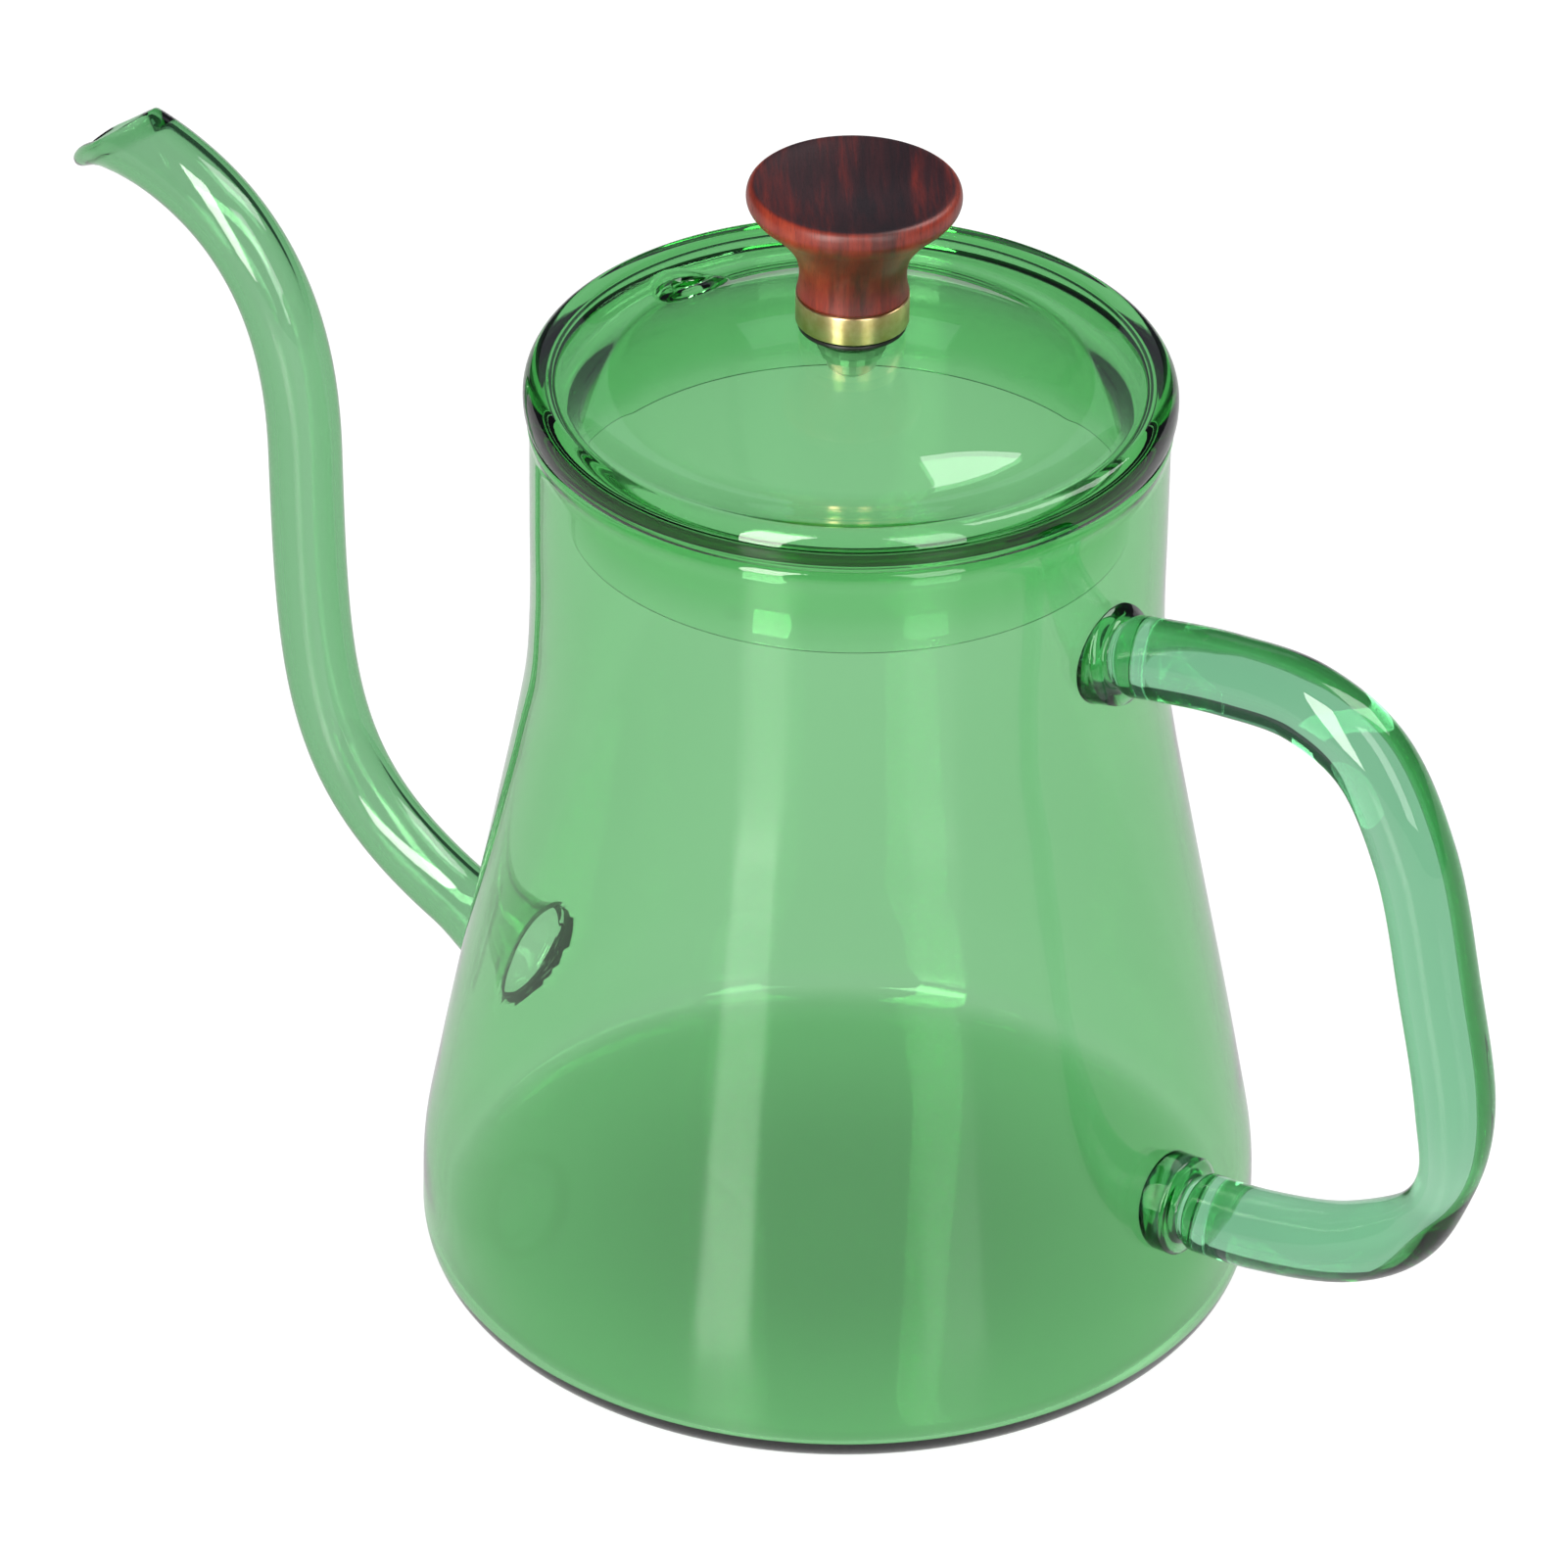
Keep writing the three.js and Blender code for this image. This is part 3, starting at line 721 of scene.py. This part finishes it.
def map_range(nodes, links, factor, low, high):
    """Stretches a 0 to 1 factor to low to high."""
    stretch = nodes.new("ShaderNodeMapRange")
    stretch.inputs["To Min"].default_value = low
    stretch.inputs["To Max"].default_value = high
    links.new(factor, stretch.inputs["Value"])
    return stretch.outputs["Result"]


def soft_step(nodes, links, value, start, end, low=0, high=1):
    """Goes smoothly from low, at start, to high, at end."""
    step = nodes.new("ShaderNodeMapRange")
    step.interpolation_type = "SMOOTHSTEP"
    step.inputs["From Min"].default_value = start
    step.inputs["From Max"].default_value = end
    step.inputs["To Min"].default_value = low
    step.inputs["To Max"].default_value = high
    links.new(value, step.inputs["Value"])
    return step.outputs["Result"]


def stretched_place(nodes, links, scale, turn=(0, 0, 0)):
    """Object coordinates in millimetres, turned and squeezed."""
    place = nodes.new("ShaderNodeTexCoord")
    stretch = nodes.new("ShaderNodeMapping")
    stretch.vector_type = "TEXTURE"
    stretch.inputs["Rotation"].default_value = turn
    stretch.inputs["Scale"].default_value = [MM / value for value in scale]
    links.new(place.outputs["Object"], stretch.inputs["Vector"])
    return stretch.outputs["Vector"]


def add_bump(nodes, links, shader, height, strength, distance):
    bump = nodes.new("ShaderNodeBump")
    bump.inputs["Strength"].default_value = strength
    bump.inputs["Distance"].default_value = distance
    links.new(height, bump.inputs["Height"])
    links.new(bump.outputs["Normal"], shader.inputs["Normal"])


def wood_material():
    """Oiled rosewood: dark and red streaks along one direction, fine pores, and a top face painted
    darker as shade.
    """
    made, nodes, links, shader, _ = material("rosewood")

    def grain_noise(scale, detail, roughness=0.5):
        place = stretched_place(nodes, links, scale, (0, 0, WOOD_GRAIN_TURN))
        return noise_texture(nodes, links, place, 1, detail, roughness)

    wander = grain_noise((0.09, 0.03, 0.05), 2)
    streaks = grain_noise((0.30, 0.028, 0.045), 4, 0.62)
    fine = grain_noise((2.4, 0.12, 0.16), 3, 0.6)
    pores = grain_noise((6, 0.7, 0.7), 3, 0.7)
    blend = nodes.new("ShaderNodeMix")
    blend.inputs["Factor"].default_value = 0.25
    links.new(streaks, blend.inputs["A"])
    links.new(wander, blend.inputs["B"])
    grain = nodes.new("ShaderNodeMix")
    grain.inputs["Factor"].default_value = 0.16
    links.new(blend.outputs["Result"], grain.inputs["A"])
    links.new(fine, grain.inputs["B"])
    # the top face: the same grain in darker colours, as painted shade
    shaded_top = colour_ramp(nodes, links, grain.outputs["Result"], (
        (0.42, (0.014, 0.006, 0.009)), (0.51, (0.032, 0.008, 0.011)), (0.58, (0.085, 0.011, 0.011)),
        (0.70, (0.22, 0.022, 0.012)),
    ))
    place = nodes.new("ShaderNodeSeparateXYZ")
    links.new(nodes.new("ShaderNodeTexCoord").outputs["Object"], place.inputs["Vector"])
    # the painted shade covers the top face, fading out below it and just short of its rim
    start, end = (wood_high[2] - depth for depth in WOOD_SHADED_TOP_DEPTH)
    low_part = soft_step(nodes, links, place.outputs["Z"], start, end)
    flat = nodes.new("ShaderNodeCombineXYZ")
    links.new(place.outputs["X"], flat.inputs["X"])
    links.new(place.outputs["Y"], flat.inputs["Y"])
    from_axis = nodes.new("ShaderNodeVectorMath")
    from_axis.operation = "LENGTH"
    links.new(flat.outputs["Vector"], from_axis.inputs[0])
    start, end = (wood_high[0] - margin for margin in WOOD_SHADED_TOP_MARGIN)
    edge = soft_step(nodes, links, from_axis.outputs["Value"], start, end)
    off_shaded_top = nodes.new("ShaderNodeMath")
    off_shaded_top.operation = "MAXIMUM"
    links.new(low_part, off_shaded_top.inputs[0])
    links.new(edge, off_shaded_top.inputs[1])
    side = colour_ramp(nodes, links, grain.outputs["Result"], (
        (0.34, (0.035, 0.009, 0.007)), (0.44, (0.11, 0.014, 0.008)), (0.54, (0.23, 0.024, 0.011)),
        (0.64, (0.36, 0.050, 0.018)),
    ))
    wood = nodes.new("ShaderNodeMix")
    wood.data_type = "RGBA"
    links.new(off_shaded_top.outputs["Value"], wood.inputs["Factor"])
    links.new(shaded_top, wood.inputs["A"])
    links.new(side, wood.inputs["B"])
    pitted = nodes.new("ShaderNodeMix")
    pitted.data_type = "RGBA"
    pitted.blend_type = "MULTIPLY"
    pitted.inputs["Factor"].default_value = 0.7
    dark = colour_ramp(nodes, links, pores, ((0.34, (0.4, 0.35, 0.35)), (0.44, (1, 1, 1))))
    links.new(wood.outputs["Result"], pitted.inputs["A"])
    links.new(dark, pitted.inputs["B"])
    links.new(pitted.outputs["Result"], shader.inputs["Base Color"])
    links.new(map_range(nodes, links, pores, 0.52, 0.38), shader.inputs["Roughness"])
    shader.inputs["Coat Weight"].default_value = 0.15
    shader.inputs["Coat Roughness"].default_value = 0.3
    add_bump(nodes, links, shader, pores, 0.25, 0.05 * MM)
    return made


def metal_material(name, dull, bright, roughness, turned):
    """Turned metal: fine rings round the axis, and slight tarnish."""
    made, nodes, links, shader, _ = material(name)
    tarnish = noise_texture(nodes, links, stretched_place(nodes, links, (0.5, 0.5, 0.5)), 1, 4)
    rings = noise_texture(nodes, links, stretched_place(nodes, links, (0.05, 0.05, 14)), 1, 3)
    colour = colour_ramp(nodes, links, tarnish, ((0.35, dull), (0.65, bright)))
    links.new(colour, shader.inputs["Base Color"])
    sheen = map_range(nodes, links, rings, roughness * 0.7, roughness * 1.3)
    links.new(sheen, shader.inputs["Roughness"])
    shader.inputs["Metallic"].default_value = 1
    shader.inputs["Anisotropic"].default_value = turned
    shader.inputs["Anisotropic Rotation"].default_value = 0.25
    tangent = nodes.new("ShaderNodeTangent")
    tangent.direction_type = "RADIAL"
    tangent.axis = "Z"
    links.new(tangent.outputs["Tangent"], shader.inputs["Tangent"])
    add_bump(nodes, links, shader, rings, 0.12, 0.02 * MM)
    return made


def silicone_material(name, dark, light, transmission):
    """Soft silicone rubber with a fine moulded grain."""
    made, nodes, links, shader, _ = material(name)
    cloud = noise_texture(nodes, links, stretched_place(nodes, links, (0.8, 0.8, 0.8)), 1, 3)
    grain = noise_texture(nodes, links, stretched_place(nodes, links, (9, 9, 9)), 1, 2)
    colour = colour_ramp(nodes, links, cloud, ((0.3, dark), (0.7, light)))
    links.new(colour, shader.inputs["Base Color"])
    links.new(map_range(nodes, links, grain, 0.3, 0.5), shader.inputs["Roughness"])
    shader.inputs["Transmission Weight"].default_value = transmission
    add_bump(nodes, links, shader, grain, 0.15, 0.03 * MM)
    return made


brass = metal_material("brass", (0.72, 0.50, 0.22), (0.90, 0.68, 0.36), 0.34, 0.8)
steel = metal_material("steel", (0.72, 0.72, 0.70), (0.88, 0.88, 0.86), 0.3, 0.3)
# The washer above the glass is near black: partly its own rubber colour, partly painted shade standing
# for the dark line under the ferrule.
dark_silicone = silicone_material("dark_silicone", (0.006, 0.008, 0.006), (0.018, 0.022, 0.018), 0)
clear_silicone = silicone_material("clear_silicone", (0.86, 0.90, 0.86), (0.95, 0.98, 0.95), 0.1)
dress(knob, wood_material())
ferrule = ring_piece("knob_ferrule_turned", "knob_ferrule", FERRULE_BORE, FERRULE_CHAMFER)
dress(ferrule, brass)
washer = ring_piece("washer_above_glass_soft", "washer_above_glass", WASHER_BORE, WASHER_CHAMFER)
dress(washer, dark_silicone)
for node, made in (
    ("knob_insert", brass),
    ("knob_screw", steel),
    ("washer_steel", steel),
    ("washer_below_glass", clear_silicone),
):
    dress(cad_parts[node], made)

for piece, body_name, node, slot in (
    (body, "kettle", "kettle_body", "body_glass"),
    (spout, "kettle", "spout_tube", "body_glass"),
    (handle, "kettle", "handle_rod", "rod_glass"),
    (lid, "lid", "lid_glass", "lid_glass"),
    (knob, "knob", "knob_wood", "rosewood"),
    (ferrule, "knob", "knob_ferrule", "brass"),
    (washer, "knob", "washer_above_glass", "dark_silicone"),
):
    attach(piece, body_name)
    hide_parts(node)

# ---------------------------------------------------------------- stage, light and camera

CAMERA_AZIMUTH = math.radians(35.5)
CAMERA_ELEVATION = math.radians(32.6)
CAMERA_ROLL = math.radians(0.77)
CAMERA_DISTANCE = 1.2047
CAMERA_LENS = 215.8
AIM_HEIGHT = 0.070
AIM_RIGHT = -7.7 * MM  # the view is centred between the spout and the handle
AIM_UP = -0.2 * MM
CONTACT_SHADE = 0.62  # painted shade: how bright the table's glow is in the middle of the kettle's base
CONTACT_REACH = (0.2, 1.1)  # reach of the painted shade, in radii of the body
FLOOR_THROUGH_GLASS = 0.66  # how bright the table is when it lights or is seen through the glass
FLOOR_RADIUS = 4
LIGHT_AIM = (0, 0, 0.08)
WORLD_STRENGTH = 0.09


def add_camera():
    """A long lens in front of the kettle, looking down at it."""
    a, e = CAMERA_AZIMUTH, CAMERA_ELEVATION
    right = Vector((math.cos(a), math.sin(a), 0))
    forward = Vector((-math.sin(a) * math.cos(e), math.cos(a) * math.cos(e), -math.sin(e)))
    up = right.cross(forward)
    aim = Vector((0, 0, AIM_HEIGHT)) + right * AIM_RIGHT + up * AIM_UP
    data = bpy.data.cameras.new("camera")
    data.lens = CAMERA_LENS
    data.sensor_width = 36
    data.clip_start = 0.05
    data.clip_end = 50
    camera = bpy.data.objects.new("camera", data)
    turn = Matrix((right, up, -forward)).transposed().to_4x4()
    roll = Matrix.Rotation(CAMERA_ROLL, 4, "Z")
    camera.matrix_world = Matrix.Translation(aim - forward * CAMERA_DISTANCE) @ turn @ roll
    bpy.context.scene.collection.objects.link(camera)
    bpy.context.scene.camera = camera


def add_floor():
    """A wide pale glowing table with a soft sheen, and painted shade that makes it a little darker
    right under the kettle.
    """
    grid = bmesh.new()
    bmesh.ops.create_circle(grid, cap_ends=True, segments=96, radius=FLOOR_RADIUS)
    mesh = bpy.data.meshes.new("floor")
    grid.to_mesh(mesh)
    grid.free()
    floor = bpy.data.objects.new("floor", mesh)
    floor.location.z = -0.05 * MM
    bpy.context.scene.collection.objects.link(floor)
    made, nodes, links, shader, _ = material("floor")
    shader.inputs["Base Color"].default_value = (0.12, 0.12, 0.12, 1)
    shader.inputs["Roughness"].default_value = 0.22
    shader.inputs["IOR"].default_value = 1.5
    shader.inputs["Emission Color"].default_value = (1, 1, 1, 1)
    place = nodes.new("ShaderNodeTexCoord")
    away = nodes.new("ShaderNodeVectorMath")
    away.operation = "LENGTH"
    links.new(place.outputs["Object"], away.inputs[0])
    # painted shade: the table's glow is dimmed round the middle of the kettle's base, standing for its
    # contact shadow
    start, end = (reach * BODY_RADIUS for reach in CONTACT_REACH)
    painted_contact_shade = soft_step(nodes, links, away.outputs["Value"], start, end, CONTACT_SHADE, 1)
    seen = nodes.new("ShaderNodeLightPath").outputs["Is Camera Ray"]
    level = map_range(nodes, links, seen, FLOOR_THROUGH_GLASS, 1)
    glow = nodes.new("ShaderNodeMath")
    glow.operation = "MULTIPLY"
    links.new(painted_contact_shade, glow.inputs[0])
    links.new(level, glow.inputs[1])
    links.new(glow.outputs["Value"], shader.inputs["Emission Strength"])
    mesh.materials.append(made)


def add_softbox(name, azimuth, elevation, distance, width, height, radiance, colour=(1, 1, 1)):
    """A rectangular light that faces the kettle, placed as seen from the camera's side."""
    target = Vector(LIGHT_AIM)
    position = around(azimuth, elevation, distance) + target
    data = bpy.data.lights.new(name, "AREA")
    data.shape = "RECTANGLE"
    data.size = width
    data.size_y = height
    data.energy = radiance * math.pi * width * height
    data.color = colour
    light = bpy.data.objects.new(name, data)
    light.location = position
    light.rotation_euler = (target - position).to_track_quat("-Z", "Y").to_euler()
    bpy.context.scene.collection.objects.link(light)


def around(azimuth, elevation, distance):
    """A place round the kettle, by its angle from the camera's side and its angle above the table."""
    a, e = math.radians(azimuth) + CAMERA_AZIMUTH, math.radians(elevation)
    return Vector((math.sin(a) * math.cos(e), -math.cos(a) * math.cos(e), math.sin(e))) * distance


def add_light():
    """Two upright strips in front, a high box at the side, a faint panel behind, and a dim sky."""
    world = bpy.data.worlds.new("world")
    world.use_nodes = True
    background = world.node_tree.nodes["Background"]
    background.inputs["Color"].default_value = (0.8, 0.9, 1.0, 1)
    background.inputs["Strength"].default_value = WORLD_STRENGTH
    bpy.context.scene.world = world
    add_softbox("left_strip", -29, 34, 1.0, 0.26, 1.1, 14, (1.0, 0.97, 0.93))
    add_softbox("right_strip", 30, 34, 1.0, 0.3, 1.0, 5)
    add_softbox("back_panel", 180, 31, 1.2, 0.5, 0.26, 0.35, (0.85, 0.9, 1.0))
    add_softbox("high_box", 115, 55, 1.1, 0.42, 0.66, 6)


add_camera()
add_floor()
add_light()
bpy.context.scene.view_settings.view_transform = "Standard"
bpy.context.scene.cycles.transmission_bounces = 24
bpy.context.scene.cycles.max_bounces = 32
